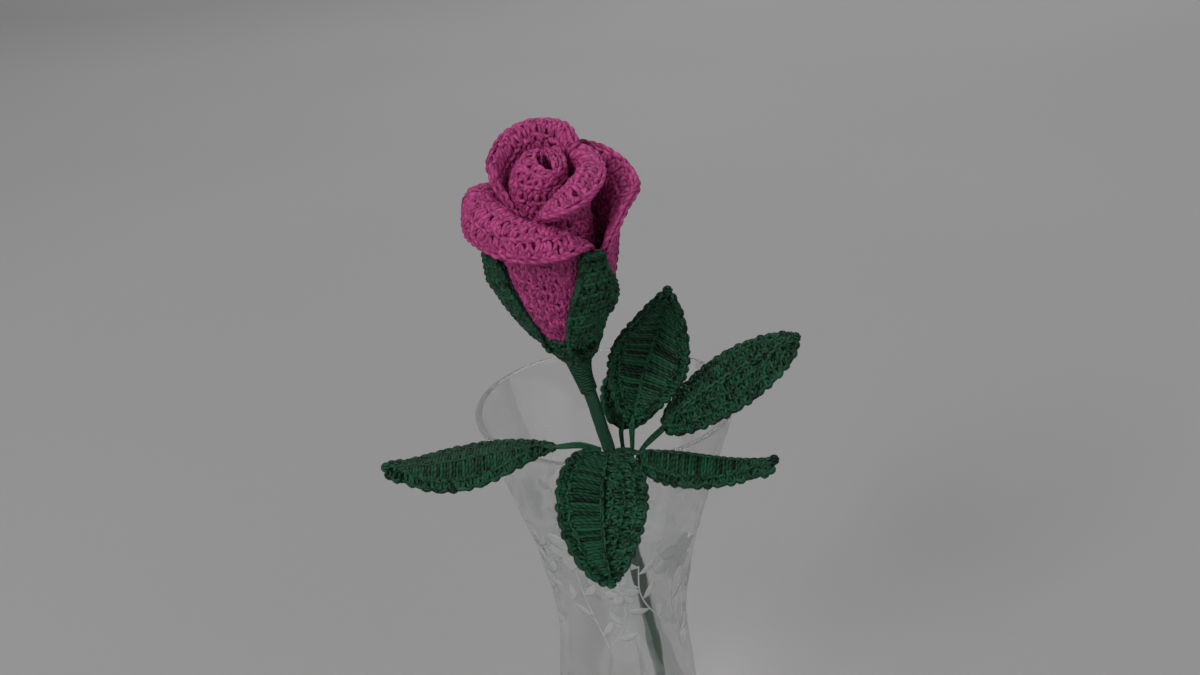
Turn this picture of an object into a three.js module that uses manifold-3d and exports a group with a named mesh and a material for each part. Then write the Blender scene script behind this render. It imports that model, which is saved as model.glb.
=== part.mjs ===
// A crocheted rosebud standing in a clear flared glass vase.
// Millimetres, +Z up. The origin is the centre of the vase's flat foot, and -Y is the side that is looked at.
import * as THREE from 'three';
import { mergeVertices } from 'three/addons/utils/BufferGeometryUtils.js';
import Module from 'manifold-3d';

const wasm = await Module();
wasm.setup();

// ---- vase
const VASE_HEIGHT = 200;
const RIM_RADIUS = 52;
const FLOOR_HEIGHT = 14;
const VASE_SEGMENTS = 32;

// ---- stem
const WIRE_RADIUS = 1.1;
const BORE_RADIUS = 1.5;
const STEM_RADIUS = 2.3;
const BINDING_RADIUS = 2.9;
const NECK_BORE = 2.7;

// ---- leaf stalks
const STALK_RADIUS = 1.25;
const STALK_BORE = 0.8;
const STALK_WIRE = 0.45;

// ---- crocheted sheets
const PETAL_THICKNESS = 2.0;
const BUD_THICKNESS = 2.0;
const LEAF_THICKNESS = 1.6;
const SEPAL_THICKNESS = 1.8;
const SCALLOP = 0.45;

const glass = new THREE.MeshStandardMaterial({ color: 0xdfe4e3, roughness: 0.05, metalness: 0 });
const pinkYarn = new THREE.MeshStandardMaterial({ color: 0x9a3a72, roughness: 0.85, metalness: 0 });
const greenYarn = new THREE.MeshStandardMaterial({ color: 0x114a36, roughness: 0.85, metalness: 0 });
const wire = new THREE.MeshStandardMaterial({ color: 0x9a9c9e, roughness: 0.4, metalness: 1 });

// ---- head frame: the bud leans towards the viewer and a little to the left
const HEAD_BASE = new THREE.Vector3(-8.4, -50.0, 244.1);
const HEAD_AXIS = new THREE.Vector3(-0.07, -0.21, 0.973).normalize();
const HEAD_SIDE = new THREE.Vector3().crossVectors(new THREE.Vector3(0, -1, 0), HEAD_AXIS).negate().normalize();
const HEAD_FRONT = new THREE.Vector3().crossVectors(HEAD_SIDE, HEAD_AXIS).normalize();

function inHead(front, side, height) {
  return HEAD_BASE.clone()
    .addScaledVector(HEAD_FRONT, front)
    .addScaledVector(HEAD_SIDE, side)
    .addScaledVector(HEAD_AXIS, height);
}

function onHead(radius, angle, height) {
  return inHead(radius * Math.cos(angle), radius * Math.sin(angle), height);
}

// Smooth monotone interpolation of column k of the rows at x; rows are [x, value, value, ...].
function along(rows, k, x) {
  const n = rows.length;
  const q = Math.min(Math.max(x, rows[0][0]), rows[n - 1][0]);
  let i = 0;
  while (i < n - 2 && q >= rows[i + 1][0]) i += 1;
  const slope = (j) => (rows[j + 1][k] - rows[j][k]) / (rows[j + 1][0] - rows[j][0]);
  const tangent = (j) => {
    if (j === 0) return slope(0);
    if (j === n - 1) return slope(n - 2);
    const a = slope(j - 1);
    const b = slope(j);
    return a * b > 0 ? (2 * a * b) / (a + b) : 0;
  };
  const h = rows[i + 1][0] - rows[i][0];
  const t = (q - rows[i][0]) / h;
  const start = rows[i][k] * (1 + 2 * t) * (1 - t) ** 2 + tangent(i) * h * t * (1 - t) ** 2;
  const end = rows[i + 1][k] * t * t * (3 - 2 * t) + tangent(i + 1) * h * t * t * (t - 1);
  return start + end;
}

function named(name, geometry, material) {
  const mesh = new THREE.Mesh(geometry, material);
  mesh.name = name;
  return mesh;
}

function geometryOf(points, faces) {
  const geometry = new THREE.BufferGeometry();
  geometry.setAttribute('position', new THREE.Float32BufferAttribute(points.flatMap((p) => [p.x, p.y, p.z]), 3));
  geometry.setIndex(faces);
  return geometry;
}

// A sheet of even thickness about the surface at(u, v); both faces carry the same triangles.
function sheet(at, nu, nv, thickness) {
  const step = 1e-3;
  const upper = [];
  const lower = [];
  for (let i = 0; i <= nu; i += 1) {
    for (let j = 0; j <= nv; j += 1) {
      const u = i / nu;
      const v = j / nv;
      const du = at(Math.min(u + step, 1), v).sub(at(Math.max(u - step, 0), v));
      const dv = at(u, Math.min(v + step, 1)).sub(at(u, Math.max(v - step, 0)));
      const normal = du.cross(dv).normalize();
      upper.push(at(u, v).addScaledVector(normal, thickness / 2));
      lower.push(at(u, v).addScaledVector(normal, -thickness / 2));
    }
  }
  const count = upper.length;
  const id = (i, j) => i * (nv + 1) + j;
  const faces = [];
  for (let i = 0; i < nu; i += 1) {
    for (let j = 0; j < nv; j += 1) {
      const [a, b, c, d] = [id(i, j), id(i + 1, j), id(i + 1, j + 1), id(i, j + 1)];
      faces.push(a, b, c, a, c, d);
      faces.push(count + a, count + c, count + b, count + a, count + d, count + c);
    }
  }
  const wall = (a, b) => faces.push(a, count + b, b, a, count + a, count + b);
  for (let i = 0; i < nu; i += 1) {
    wall(id(i, 0), id(i + 1, 0));
    wall(id(i + 1, nv), id(i, nv));
  }
  for (let j = 0; j < nv; j += 1) {
    wall(id(nu, j), id(nu, j + 1));
    wall(id(0, j + 1), id(0, j));
  }
  return geometryOf([...upper, ...lower], faces);
}

// Rings of points round a path; radiusAt(t) gives the radius at the share t of the path.
function rings(path, radiusAt, segments, sides) {
  const frames = path.computeFrenetFrames(segments, false);
  const out = [];
  for (let i = 0; i <= segments; i += 1) {
    const t = i / segments;
    const centre = path.getPointAt(t);
    for (let j = 0; j < sides; j += 1) {
      const a = (2 * Math.PI * j) / sides;
      out.push(centre.clone()
        .addScaledVector(frames.normals[i], radiusAt(t) * Math.cos(a))
        .addScaledVector(frames.binormals[i], radiusAt(t) * Math.sin(a)));
    }
  }
  return out;
}

// A rod of round section with flat ends.
function rod(path, radiusAt, segments, sides) {
  const points = rings(path, radiusAt, segments, sides);
  const faces = [];
  for (let i = 0; i < segments; i += 1) {
    for (let j = 0; j < sides; j += 1) {
      const k = (j + 1) % sides;
      const [a, b, c, d] = [i * sides + j, (i + 1) * sides + j, (i + 1) * sides + k, i * sides + k];
      faces.push(a, d, c, a, c, b);
    }
  }
  const last = segments * sides;
  for (let j = 1; j < sides - 1; j += 1) {
    faces.push(0, j + 1, j);
    faces.push(last, last + j, last + j + 1);
  }
  return geometryOf(points, faces);
}

// ---- solids
function solidOf(geometry) {
  const bare = geometry.clone();
  bare.deleteAttribute('normal');
  bare.deleteAttribute('uv');
  const merged = mergeVertices(bare, 1e-4);
  return new wasm.Manifold(new wasm.Mesh({
    numProp: 3,
    vertProperties: new Float32Array(merged.getAttribute('position').array),
    triVerts: new Uint32Array(merged.index.array),
  }));
}

function geometryFrom(solid) {
  const mesh = solid.getMesh();
  const geometry = new THREE.BufferGeometry();
  geometry.setAttribute('position', new THREE.Float32BufferAttribute(mesh.vertProperties, 3));
  geometry.setIndex(Array.from(mesh.triVerts));
  return geometry;
}

// ---- vase: outer wall up to the rim, inner wall down to the thick floor
const VASE_OUTER = [
  [0, 37.0], [2, 38.0], [8, 37.4], [24, 34.5], [48, 31.3], [72, 29.4], [98, 27.5],
  [112, 28.4], [126, 30.8], [142, 34.5], [158, 39.2], [174, 44.0], [188, 48.5], [200, RIM_RADIUS],
];
const VASE_WALL = [[0, 4.2], [48, 4.0], [98, 3.6], [150, 3.0], [200, 2.4]];

function vaseGeometry() {
  const profile = [new THREE.Vector2(0, 0), new THREE.Vector2(VASE_OUTER[0][1], 0)];
  for (const z of [2, 8, 24, 48, 72, 98, 112, 126, 142, 158, 174, 188, 199.2]) {
    profile.push(new THREE.Vector2(along(VASE_OUTER, 1, z), z));
  }
  const rimInner = RIM_RADIUS - 2.4;
  profile.push(new THREE.Vector2(RIM_RADIUS - 0.5, VASE_HEIGHT));
  profile.push(new THREE.Vector2(rimInner + 0.5, VASE_HEIGHT));
  for (const z of [199.2, 188, 174, 158, 142, 126, 112, 98, 72, 48, 24, 17]) {
    profile.push(new THREE.Vector2(along(VASE_OUTER, 1, z) - along(VASE_WALL, 1, z), z));
  }
  profile.push(new THREE.Vector2(26, FLOOR_HEIGHT));
  profile.push(new THREE.Vector2(0, FLOOR_HEIGHT));
  return strip(new THREE.LatheGeometry(profile, VASE_SEGMENTS)).rotateX(Math.PI / 2);
}

// Lathe ends on the axis leave flat triangles; they are dropped here with the unused attributes.
function strip(geometry) {
  geometry.deleteAttribute('normal');
  geometry.deleteAttribute('uv');
  const merged = mergeVertices(geometry, 1e-4);
  const index = merged.index.array;
  const kept = [];
  for (let i = 0; i < index.length; i += 3) {
    const [a, b, c] = [index[i], index[i + 1], index[i + 2]];
    if (a !== b && b !== c && c !== a) kept.push(a, b, c);
  }
  merged.setIndex(kept);
  return merged;
}

// ---- stem: leans on the front of the rim, its end on the vase's floor
const STEM_PATH = new THREE.CatmullRomCurve3([
  new THREE.Vector3(19.6, 15.0, 15.2),
  new THREE.Vector3(14.6, 0.0, 63.7),
  new THREE.Vector3(7.6, -22.0, 132.0),
  new THREE.Vector3(0.5, -46.4, 200.5),
  new THREE.Vector3(-2.0, -48.2, 213.0),
  new THREE.Vector3(-4.9, -49.4, 227.0),
  new THREE.Vector3(-7.3, -50.0, 236.5),
  onHead(0, 0, 2),
  onHead(0, 0, 12),
  onHead(0, 0, 32),
  onHead(0, 0, 58),
], false, 'centripetal');

// A stretch of a path, from one share of its length to another; it runs on straight before the start.
class Stretch extends THREE.Curve {
  constructor(path, from, to) {
    super();
    this.path = path;
    this.from = from;
    this.to = to;
  }

  getPoint(t, target = new THREE.Vector3()) {
    const share = this.from + (this.to - this.from) * t;
    target.copy(this.path.getPointAt(Math.min(Math.max(share, 0), 1)));
    const before = Math.min(share, 0) * this.path.getLength();
    return target.addScaledVector(this.path.getTangentAt(0), before);
  }
}

// The wrapping ends inside the calyx; the wire runs on into the rolled bud.
const NECK_FROM = 0.755;
const WRAP_SHARE = 0.81;
const WRAP_SEGMENTS = 30;

function wrapRadius(t) {
  const bindings = [0.315, 0.52, 0.70];
  const nearest = Math.min(...bindings.map((b) => Math.abs(t - b)));
  const bulge = Math.max(0, 1 - nearest / 0.034);
  return STEM_RADIUS + (BINDING_RADIUS - STEM_RADIUS) * bulge;
}

function stemWrapGeometry() {
  const outer = solidOf(rod(new Stretch(STEM_PATH, 0, WRAP_SHARE), wrapRadius, WRAP_SEGMENTS, 8));
  const bore = solidOf(rod(new Stretch(STEM_PATH, -0.01, 1), () => BORE_RADIUS, WRAP_SEGMENTS, 8));
  return geometryFrom(outer.subtract(bore));
}

function stemWireGeometry() {
  return rod(STEM_PATH, () => WIRE_RADIUS, WRAP_SEGMENTS, 6);
}

// ---- rolled bud: the inner turn stands up as a collar along the right of a slit, and the outer turn
// domes over to the slit's other side
const BUD_TURNS = 1.95;
const BUD_SHOULDER = 0.55;
const SLIT_ANGLE = (27 * Math.PI) / 180;
const SLIT_FRONT = 1.5;
const SLIT_SIDE = 0.6;
const SLIT_LONG = 5.8;
const SLIT_SLOPE = 0.3;

function budPoint(u, v) {
  const { smoothstep } = THREE.MathUtils;
  const angle = (150 * Math.PI) / 180 - 2 * Math.PI * BUD_TURNS * (1 - u);
  const s = smoothstep(u, 0.42, 0.60);
  const past = angle - SLIT_ANGLE;
  const lengthwise = SLIT_LONG * Math.cos(past);
  const across = 1.65 * s + 0.9 * smoothstep(u, 0.88, 1) + (2.75 + 0.85 * s) * Math.sin(past);
  const topFront = SLIT_FRONT + lengthwise * Math.cos(SLIT_ANGLE) - across * Math.sin(SLIT_ANGLE);
  const topSide = SLIT_SIDE + lengthwise * Math.sin(SLIT_ANGLE) + across * Math.cos(SLIT_ANGLE);
  const collar = smoothstep(Math.sin(past), 0.3, 0.8);
  const topHeight = (1 - s) * (66 + 9.8 * collar) + s * 75 - SLIT_SLOPE * topFront;
  const radius = 3.0 + 5.5 * s;
  const bodyFront = 0.3 * (1 - s) + radius * Math.cos(angle);
  const bodySide = -0.3 - 2.2 * s + radius * Math.sin(angle);
  const shoulder = 60.5 + 4 * s;
  if (v < BUD_SHOULDER) {
    const low = v / BUD_SHOULDER;
    const taper = 0.86 + 0.14 * Math.sin((low * Math.PI) / 2);
    return inHead(taper * bodyFront, taper * bodySide, 42 + (shoulder - 42) * low);
  }
  const high = ((v - BUD_SHOULDER) / (1 - BUD_SHOULDER)) * Math.PI * 0.5;
  return inHead(
    topFront + (bodyFront - topFront) * Math.cos(high),
    topSide + (bodySide - topSide) * Math.cos(high),
    shoulder + (topHeight - shoulder) * Math.sin(high),
  );
}

// ---- petals: a body that rises from the calyx and a rim that rolls outwards
// rows: angle (degrees, 0 = front, + = right), fold radius, fold height, roll (degrees), roll radius, lip length
const PETALS = {
  petal_a: {
    base: [10.1, 27, 0.09],
    rows: [
      [-238, 12.0, 72.0, 90, 3.0, 4], [-200, 11.8, 75.6, 120, 3.6, 8], [-170, 11.8, 76.4, 125, 3.6, 8.5],
      [-145, 12.4, 75.6, 110, 3.4, 7], [-120, 13.8, 74.2, 75, 3.2, 5], [-98, 15.0, 72.0, 45, 4, 4],
      [-84, 15.0, 69.0, 35, 4, 3], [-70, 13.5, 64.0, 25, 4, 2], [-52, 12.9, 59, 25, 4, 1.5],
    ],
  },
  petal_b: {
    base: [9.0, 22, 0.065],
    rows: [
      [-24, 13.0, 53, 50, 5.0, 3], [-10, 13.0, 59, 95, 5.4, 8], [5, 13.2, 63.5, 115, 5.6, 13],
      [24, 12.6, 66.5, 125, 5.4, 15], [50, 11.8, 68.5, 130, 4.3, 13], [90, 11.3, 69.5, 130, 3.5, 9],
      [118, 10.8, 70.5, 120, 2.9, 7],
    ],
  },
  petal_c: {
    base: [6.8, 6.7, 0.25],
    rows: [
      [-132, 18.0, 55.5, 120, 4.4, 8], [-112, 17.5, 59.2, 168, 4.6, 16], [-90, 17.0, 61.3, 176, 4.8, 19.2],
      [-60, 16.7, 61.8, 174, 5.1, 21.5], [-30, 17.2, 59.4, 168, 5.2, 20.5], [0, 17.8, 56.8, 160, 5.0, 17.5],
      [24, 18.0, 51.0, 130, 4.0, 8.5], [34, 18.2, 47.2, 95, 3.2, 3.5], [40, 18.2, 44.8, 60, 3.2, 2],
    ],
  },
  petal_d: {
    base: [6.8, 6.7, 0.225],
    rows: [
      [45, 20.6, 45, 30, 8, 2], [54, 20.8, 49.5, 45, 8, 6], [68, 20.8, 53.0, 60, 9, 9],
      [88, 20.8, 55, 65, 9, 12], [105, 20.8, 57.5, 60, 9, 11], [125, 20.2, 62, 60, 8, 8.5],
      [165, 19.2, 64, 60, 8, 7], [222, 19.0, 60, 60, 8, 4],
    ],
  },
};

function petalPoint({ base, rows }, u, v) {
  const degrees = rows[0][0] + (rows[rows.length - 1][0] - rows[0][0]) * u;
  const [foldR, foldZ, roll, rollRadius, lip] = [1, 2, 3, 4, 5].map((k) => along(rows, k, degrees));
  const [baseR, baseZ, swell] = base;
  const body = Math.hypot(foldR - baseR, foldZ - baseZ);
  const s = v * (body + lip);
  const midR = baseR + (foldZ - baseZ) * swell;
  const midZ = baseZ + (foldZ - baseZ) * 0.5;
  const b = Math.min(s / body, 1);
  let r = (1 - b) ** 2 * baseR + 2 * b * (1 - b) * midR + b * b * foldR;
  let z = (1 - b) ** 2 * baseZ + 2 * b * (1 - b) * midZ + b * b * foldZ;
  const past = Math.max(s - body, 0);
  const start = Math.atan2(foldR - midR, foldZ - midZ);
  const arc = Math.min(past, (roll * Math.PI * rollRadius) / 180);
  const turned = start + arc / rollRadius;
  r += rollRadius * (Math.cos(start) - Math.cos(turned)) + (past - arc) * Math.sin(turned);
  z += rollRadius * (Math.sin(turned) - Math.sin(start)) + (past - arc) * Math.cos(turned);
  return onHead(r, (degrees * Math.PI) / 180, z);
}

// ---- calyx: neck and cup turned about the head's axis, and four sepals
// sepals: angle (degrees), profile points [radius, height], edges [share of length, left, right], how the
// radius slants across the blade, and how its top leans
const HUGGING = [[9.6, 6], [13.0, 15.5], [18.0, 28], [21.2, 37], [22.6, 44]];
const EVEN_EDGES = [[0, -4.5, 4.5], [0.35, -6.4, 6.4], [0.6, -6.6, 6.6], [0.84, -4.2, 4.2], [1, -3.2, 3.2]];
const SEPALS = [
  {
    angle: 28, slant: 0, lean: 0.3,
    profile: [[9.5, 6], [14.8, 16], [19.2, 28], [22.2, 40], [23.5, 51.2]],
    edges: [
      [0, -6, 3], [0.25, -8.4, 1.8], [0.36, -8.8, 2.4], [0.46, -8.6, 8.4], [0.53, -8.1, 9.8], [0.66, -6.6, 9],
      [0.76, -5.2, 7], [0.86, -4.1, 5.3], [1, -3.2, 4.2],
    ],
  },
  {
    angle: -80, slant: -0.45, lean: 0,
    profile: [[9.8, 6], [14.9, 15], [19.4, 27], [21.8, 36], [21.9, 46]],
    edges: [[0, -4.5, 4.5], [0.35, -5.2, 5.2], [0.6, -5.4, 5.4], [0.84, -4.6, 4.6], [1, -3.4, 3.4]],
  },
  { angle: 132, slant: 0, lean: 0, profile: HUGGING, edges: EVEN_EDGES },
  { angle: -156, slant: 0, lean: 0, profile: HUGGING, edges: EVEN_EDGES },
];

function sepalPoint({ angle, profile, edges, slant, lean }, u, v) {
  const scaled = u * (profile.length - 1);
  const rows = profile.map(([r, z], i) => [i, r, z]);
  const r = along(rows, 1, scaled);
  const z = along(rows, 2, scaled);
  const left = along(edges, 1, u);
  const x = left + (along(edges, 2, u) - left) * v;
  const turn = (angle * Math.PI) / 180 + x / Math.max(r, 6);
  return onHead(r + slant * x * Math.min(1, 3.3 * u), turn, z - lean * x * u * u);
}

function calyxGeometry() {
  const outer = [[3.6, -2.4], [5.2, -1], [6.8, 1], [8.2, 3.4], [9.4, 6], [10.8, 9.2], [12.0, 12.4]];
  const inner = [[11.1, 12.6], [10.1, 9.8], [9.0, 7.2], [7.7, 5.0], [0, 5.0]];
  const profile = [[0, -2.4], ...outer, ...inner].map(([r, z]) => new THREE.Vector2(r, z));
  const cup = strip(new THREE.LatheGeometry(profile, 16)).rotateX(Math.PI / 2);
  const frame = new THREE.Matrix4().makeBasis(HEAD_SIDE, HEAD_FRONT.clone().negate(), HEAD_AXIS);
  cup.applyMatrix4(frame.setPosition(HEAD_BASE));
  const neckPath = new Stretch(STEM_PATH, NECK_FROM, WRAP_SHARE);
  const neck = rod(neckPath, (t) => 3.1 + 3.3 * t ** 2.2, 6, 8);
  let solid = solidOf(cup).add(solidOf(neck));
  for (const sepal of SEPALS) {
    solid = solid.add(solidOf(sheet((u, v) => sepalPoint(sepal, u, v), 9, 4, SEPAL_THICKNESS)));
  }
  const bore = rod(new Stretch(STEM_PATH, NECK_FROM - 0.02, WRAP_SHARE + 0.04), () => NECK_BORE, 8, 8);
  return geometryFrom(solid.subtract(solidOf(bore)));
}

// ---- leaves: a blade folded along its midrib on a yarn-covered stalk, with the edge in small loops
// midrib: four control points; stalk: points from the stem up to the blade; up: rough direction of the upper face
const LEAVES = {
  leaf_left: {
    stalk: [[-3.3, -46.8, 203.1], [-10, -48.3, 206.6]],
    midrib: [[-19, -50, 207.7], [-35, -50, 210.5], [-61.5, -50, 201], [-80.5, -50, 205]],
    up: [0, -0.12, 0.99], width: 13.2, fold: [-14, -2], curl: [0, -14], shape: [1.2, 1.0, 0.38],
  },
  leaf_right: {
    stalk: [[3.3, -47.4, 202.8], [6.4, -51.2, 205.0]],
    midrib: [[10, -55.4, 205.5], [25, -57.4, 206.6], [42, -60, 199.7], [57.5, -62, 201.9]],
    up: [0, -0.2, 0.98], width: 13.6, fold: [-12, -42], curl: [0, -22], shape: [0.66, 0.72, 0.42],
  },
  leaf_front: {
    stalk: [[-0.1, -51.0, 202.6], [-0.5, -52.0, 204.0]],
    midrib: [[-1, -53.2, 205.1], [-2.5, -64, 205.2], [-7, -78, 189], [-3, -84, 171]],
    up: [-0.05, -0.62, 0.78], width: 16.2, fold: [12, 6], curl: [12, 6], shape: [0.92, 0.66, 0],
  },
  leaf_up: {
    stalk: [[5.5, -43.5, 187], [8.2, -45.0, 200]],
    midrib: [[9, -45.0, 212], [13.5, -36, 228], [21.5, -34, 241], [24.5, -46, 262.5]],
    up: [-0.05, -1, 0.25], width: 15.8, fold: [18, 18], curl: [14, 14], shape: [0.98, 0.72, 0],
  },
  leaf_back: {
    stalk: [[5.7, -40.1, 187], [5.2, -41.2, 198]],
    midrib: [[5, -40.2, 207.4], [9, -30, 212], [19, -15, 219.5], [29, -4, 221]],
    up: [0.1, -0.4, 0.9], width: 14.2, fold: [26, 26], curl: [10, 10], shape: [0.72, 0.60, 0],
  },
  leaf_ru: {
    stalk: [[8.6, -41.4, 187], [11.2, -43.2, 199]],
    midrib: [[20, -45, 209], [34, -46, 223.5], [55.5, -47, 234.5], [68.5, -46, 241]],
    up: [-0.50, -0.36, 0.79], width: 13.6, fold: [-4, -4], curl: [-4, -6], shape: [0.92, 0.62, 0],
  },
};
const LEAF_STEPS = 26;

function leafPoint(leaf, rib, u, v) {
  const t = 2 * v - 1;
  const along_ = rib.getPoint(u);
  const forward = rib.getTangent(Math.min(Math.max(u, 0.001), 0.999)).normalize();
  const side = new THREE.Vector3().crossVectors(forward, new THREE.Vector3(...leaf.up)).normalize();
  const upward = new THREE.Vector3().crossVectors(side, forward);
  const [skew, fullness, blunt] = leaf.shape;
  const tip = u > 0.6 ? blunt * Math.sqrt(1 - Math.max(0, (u - 0.9) / 0.1) ** 3) : 0;
  const outline = Math.max(Math.max(Math.sin(Math.PI * u ** skew), 0) ** fullness, tip);
  const loops = SCALLOP * Math.cos(Math.PI * LEAF_STEPS * u) * t * t;
  const half = 1.3 + (leaf.width - 1.3) * outline + loops;
  const k = t > 0 ? 0 : 1;
  const angle = ((leaf.fold[k] + leaf.curl[k] * Math.abs(t)) * Math.PI) / 180;
  return along_
    .addScaledVector(side, half * t * Math.cos(angle))
    .addScaledVector(upward, half * Math.abs(t) * Math.sin(angle));
}

function leafPieces(name, leaf) {
  const points = leaf.midrib.map((p) => new THREE.Vector3(...p));
  const rib = new THREE.CubicBezierCurve3(...points);
  const blade = sheet((u, v) => leafPoint(leaf, rib, 0.004 + 0.992 * u, v), LEAF_STEPS, 6, LEAF_THICKNESS);
  const root = leaf.stalk.map((p) => new THREE.Vector3(...p));
  const path = new THREE.CatmullRomCurve3([...root, rib.getPoint(0), rib.getPoint(0.1)], false, 'centripetal');
  const stalk = rod(path, () => STALK_RADIUS, 8, 6);
  const knob = new THREE.SphereGeometry(1.9, 7, 5);
  knob.translate(...rib.getPoint(1).toArray());
  const bore = rod(new Stretch(path, -0.1, 0.86), () => STALK_BORE, 8, 6);
  const covered = solidOf(blade).add(solidOf(stalk)).add(solidOf(strip(knob))).subtract(solidOf(bore));
  const inside = rod(new Stretch(path, 0, 0.82), () => STALK_WIRE, 8, 6);
  return [named(name, geometryFrom(covered), greenYarn), named(`${name}_wire`, inside, wire)];
}

const rose = new THREE.Group();
rose.name = 'crocheted_rose_in_vase';
rose.add(named('vase', vaseGeometry(), glass));
rose.add(named('stem_wire', stemWireGeometry(), wire));
rose.add(named('stem_wrap', stemWrapGeometry(), greenYarn));
rose.add(named('calyx', calyxGeometry(), greenYarn));
rose.add(named('bud_core', sheet(budPoint, 36, 9, BUD_THICKNESS), pinkYarn));
for (const [name, petal] of Object.entries(PETALS)) {
  rose.add(named(name, sheet((u, v) => petalPoint(petal, u, v), 18, 11, PETAL_THICKNESS), pinkYarn));
}
for (const [name, leaf] of Object.entries(LEAVES)) {
  rose.add(...leafPieces(name, leaf));
}

export default rose;
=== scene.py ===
"""A crocheted rosebud with six leaves in a clear flared glass vase.

The pieces are drawn in millimetres; the stage, the lights and the camera are in metres. The frame
is the CAD model's: +Z up, the vase's foot centred on the origin, and the viewer's side towards -Y.
"""

import math

import bpy
import numpy as np
from mathutils import Matrix

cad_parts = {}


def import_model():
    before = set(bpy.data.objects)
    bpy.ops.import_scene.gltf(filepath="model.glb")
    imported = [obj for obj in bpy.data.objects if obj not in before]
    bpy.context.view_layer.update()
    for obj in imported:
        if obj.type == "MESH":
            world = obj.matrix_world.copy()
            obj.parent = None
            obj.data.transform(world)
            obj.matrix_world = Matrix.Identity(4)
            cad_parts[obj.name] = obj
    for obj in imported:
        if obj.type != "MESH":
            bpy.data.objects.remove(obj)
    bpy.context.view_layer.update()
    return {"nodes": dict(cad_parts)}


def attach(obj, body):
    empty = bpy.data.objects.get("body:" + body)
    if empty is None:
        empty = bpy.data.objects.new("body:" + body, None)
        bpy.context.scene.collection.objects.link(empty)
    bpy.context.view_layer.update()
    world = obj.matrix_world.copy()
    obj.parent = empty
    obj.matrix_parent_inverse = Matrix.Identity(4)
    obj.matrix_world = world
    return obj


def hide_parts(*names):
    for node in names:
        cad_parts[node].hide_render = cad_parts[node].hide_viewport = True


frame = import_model()

MM = 0.001
SEED = 7
TURN = 2 * math.pi

# ---- yarn and stitches: a strand's radius, a stitch's width, a row's height, the length and spread
# of a chain's link, and the gap between a sheet's rim and its first row
YARN = 0.74
STITCH = 2.75
ROW = 2.7
CHAIN_LINK = 3.2
CHAIN_SPREAD = 0.62
RIM_GAP = 0.35
# how far stitches and links stray, and how much the yarn's radius varies
UNEVEN = 0.12
LINK_UNEVEN = (0.03, 0.05)
YARN_VARIES = 0.06
# a stitch may pass a row's end by this share of its width, and v may pass the sheet's edges by a
# little before it is held to the top
OVERHANG = 0.3
V_RANGE = (-0.03, 1.04)
V_TOP = 0.997
# strands: their sides, their points on a stitch and on a link, how they swell from end to middle,
# and how far along the yarn they may start
SIDES = 5
WOUND_SIDES = 6
FINE_POINTS = 7
FEWER_POINTS = 6
LINK_POINTS = 8
STRAND_ENDS = 0.72
STRAND_SWELL = 0.46
YARN_START = 40
SHEET_UV = 0.3
ROW_SAMPLES = 160
EDGE_SAMPLES = 200


def unit(vectors):
    return vectors / np.maximum(np.linalg.norm(vectors, axis=-1, keepdims=True), 1e-12)


def column(rows, k):
    return np.array([row[k] for row in rows], float)


def smooth_steps(x, y, q):
    """Smooth monotone interpolation of y over x at q."""
    h = np.diff(x)
    d = np.diff(y) / h
    m = np.zeros_like(y)
    total = d[1:] + d[:-1]
    same = d[1:] * d[:-1] > 0
    m[1:-1] = np.where(same, 2 * d[1:] * d[:-1] / np.where(same, total, 1), 0)
    m[0], m[-1] = d[0], d[-1]
    q = np.clip(q, x[0], x[-1])
    i = np.clip(np.searchsorted(x, q, side="right") - 1, 0, len(h) - 1)
    t = (q - x[i]) / h[i]
    start = y[i] * (1 + 2 * t) * (1 - t) ** 2 + m[i] * h[i] * t * (1 - t) ** 2
    return start + y[i + 1] * t * t * (3 - 2 * t) + m[i + 1] * h[i] * t * t * (t - 1)


def from_table(rows, k, q):
    """Column k of the rows, smoothly over their first column, at q."""
    return smooth_steps(column(rows, 0), column(rows, k), q)


def smoothstep(x, low, high):
    t = np.clip((x - low) / (high - low), 0, 1)
    return t * t * (3 - 2 * t)


def lengths_along(line):
    return np.concatenate([[0], np.cumsum(np.linalg.norm(np.diff(line, axis=0), axis=1))])


def at_lengths(line, q):
    """The line's points at the lengths q along it."""
    run = lengths_along(line)
    return np.stack([np.interp(q, run, line[:, k]) for k in range(3)], axis=1)


def share_of(path, start, end, count):
    """The part of the path between two shares of its length."""
    return at_lengths(path, np.linspace(start, end, count) * lengths_along(path)[-1])


def curve_through(points, count, between=60):
    """A centripetal Catmull-Rom curve through the points, sampled evenly along its length."""
    p = np.asarray(points, float)
    p = np.vstack([2 * p[0] - p[1], p, 2 * p[-1] - p[-2]])
    gaps = np.sqrt(np.linalg.norm(np.diff(p, axis=0), axis=1))
    knots = np.concatenate([[0], np.cumsum(gaps)])
    out = []
    for i in range(1, len(p) - 2):
        t0, t1, t2, t3 = knots[i - 1:i + 3]
        t = np.linspace(t1, t2, between, endpoint=i == len(p) - 3)[:, None]
        a1 = (t1 - t) / (t1 - t0) * p[i - 1] + (t - t0) / (t1 - t0) * p[i]
        a2 = (t2 - t) / (t2 - t1) * p[i] + (t - t1) / (t2 - t1) * p[i + 1]
        a3 = (t3 - t) / (t3 - t2) * p[i + 1] + (t - t2) / (t3 - t2) * p[i + 2]
        b1 = (t2 - t) / (t2 - t0) * a1 + (t - t0) / (t2 - t0) * a2
        b2 = (t3 - t) / (t3 - t1) * a2 + (t - t1) / (t3 - t1) * a3
        out.append((t2 - t) / (t2 - t1) * b1 + (t - t1) / (t2 - t1) * b2)
    line = np.vstack(out)
    return at_lengths(line, np.linspace(0, lengths_along(line)[-1], count))


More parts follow.
